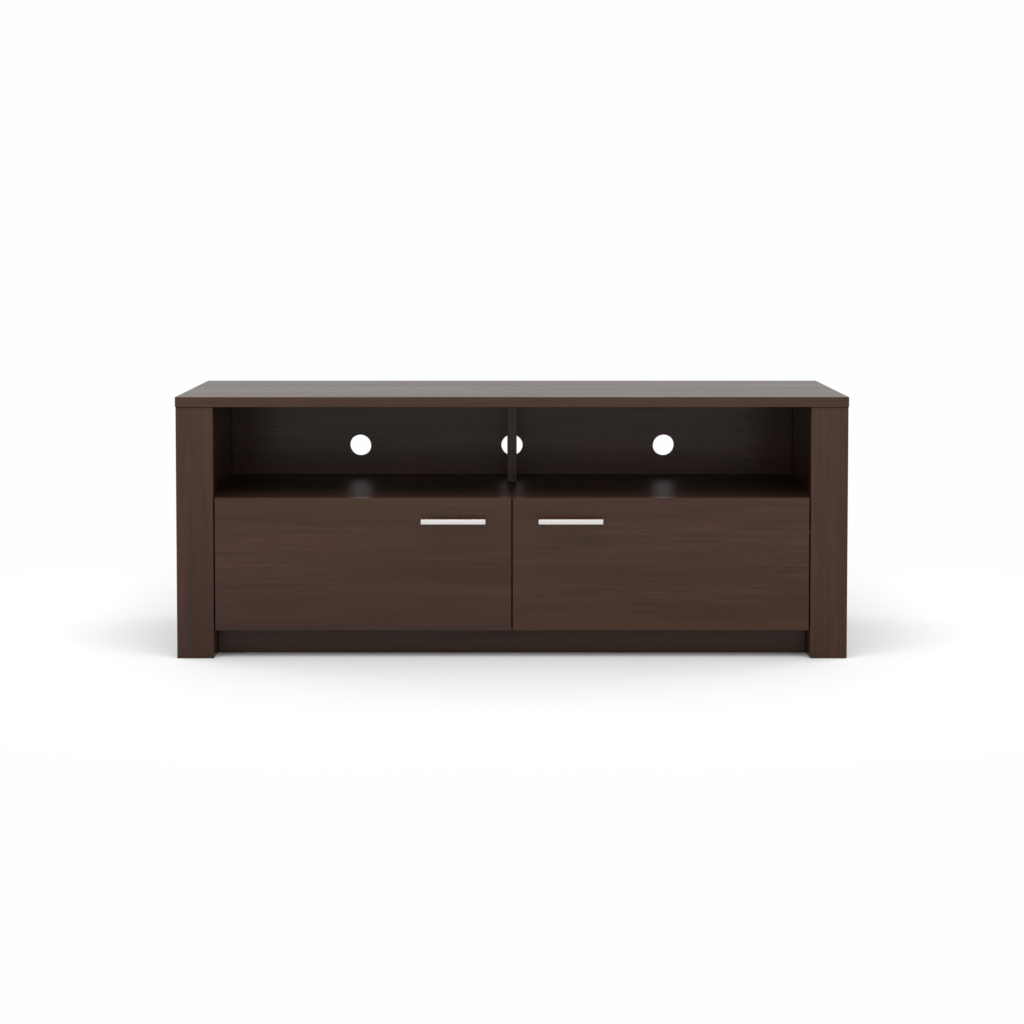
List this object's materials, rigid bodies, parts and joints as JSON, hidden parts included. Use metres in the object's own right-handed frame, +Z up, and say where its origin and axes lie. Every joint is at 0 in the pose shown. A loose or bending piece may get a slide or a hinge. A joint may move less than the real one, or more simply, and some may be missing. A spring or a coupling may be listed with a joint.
{
  "type": "tv stand with doors",
  "caption": "Low television stand: open bay with cable holes and a short divider over two hinged cupboard doors with bar handles, between thick hollow sides on a set-back plinth.",
  "frame": {"origin": "on the floor under the middle of the whole stand, door handles included", "axes": "+X to the right seen from the front, -Y out of the doors, +Z up"},
  "size_m": [1.201, 0.428, 0.47],
  "materials": {
    "espresso_laminate": "satin dark brown wood-grain laminate",
    "nickel_plated_steel": "bright nickel plating",
    "satin_bar_metal": "satin",
    "pale_plastic": "matt, slightly clear"
  },
  "bodies": {
    "carcass": {"bottom_panel": "espresso_laminate", "centre_brace": "espresso_laminate", "front_plinth": "espresso_laminate", "left_front_cam": "nickel_plated_steel", "left_front_cam_dowel": "nickel_plated_steel", "left_front_glide": "pale_plastic", "left_hinge_strip": "espresso_laminate", "left_inner_side": "espresso_laminate", "left_lower_hinge_arm": "nickel_plated_steel", "left_lower_hinge_plate": "nickel_plated_steel", "left_outer_side": "espresso_laminate", "left_rear_cam": "nickel_plated_steel", "left_rear_cam_dowel": "nickel_plated_steel", "left_rear_filler": "espresso_laminate", "left_rear_glide": "pale_plastic", "left_stile": "espresso_laminate", "left_upper_hinge_arm": "nickel_plated_steel", "left_upper_hinge_plate": "nickel_plated_steel", "lower_back_panel": "espresso_laminate", "lower_partition": "espresso_laminate", "rear_plinth": "espresso_laminate", "right_front_cam": "nickel_plated_steel", "right_front_cam_dowel": "nickel_plated_steel", "right_front_glide": "pale_plastic", "right_hinge_strip": "espresso_laminate", "right_inner_side": "espresso_laminate", "right_lower_hinge_arm": "nickel_plated_steel", "right_lower_hinge_plate": "nickel_plated_steel", "right_outer_side": "espresso_laminate", "right_rear_cam": "nickel_plated_steel", "right_rear_cam_dowel": "nickel_plated_steel", "right_rear_filler": "espresso_laminate", "right_rear_glide": "pale_plastic", "right_stile": "espresso_laminate", "right_upper_hinge_arm": "nickel_plated_steel", "right_upper_hinge_plate": "nickel_plated_steel", "shelf_deck": "espresso_laminate", "top_panel": "espresso_laminate", "upper_back_panel": "espresso_laminate", "upper_divider": "espresso_laminate"},
    "left_door": {"left_door_panel": "espresso_laminate", "left_handle_bar": "satin_bar_metal", "left_inner_handle_post": "satin_bar_metal", "left_inner_handle_screw": "nickel_plated_steel", "left_lower_buffer": "pale_plastic", "left_lower_hinge_cup": "nickel_plated_steel", "left_outer_handle_post": "satin_bar_metal", "left_outer_handle_screw": "nickel_plated_steel", "left_upper_buffer": "pale_plastic", "left_upper_hinge_cup": "nickel_plated_steel"},
    "right_door": {"right_door_panel": "espresso_laminate", "right_handle_bar": "satin_bar_metal", "right_inner_handle_post": "satin_bar_metal", "right_inner_handle_screw": "nickel_plated_steel", "right_lower_buffer": "pale_plastic", "right_lower_hinge_cup": "nickel_plated_steel", "right_outer_handle_post": "satin_bar_metal", "right_outer_handle_screw": "nickel_plated_steel", "right_upper_buffer": "pale_plastic", "right_upper_hinge_cup": "nickel_plated_steel"}
  },
  "joints": [
    {"name": "left_door_hinge", "type": "hinge", "parent": "carcass", "child": "left_door", "pos_m": [-0.5315, -0.186, 0.16975], "axis": [0, 0, -1], "range_deg": [0, 105]},
    {"name": "right_door_hinge", "type": "hinge", "parent": "carcass", "child": "right_door", "pos_m": [0.5315, -0.186, 0.16975], "axis": [0, 0, 1], "range_deg": [0, 105]}
  ]
}
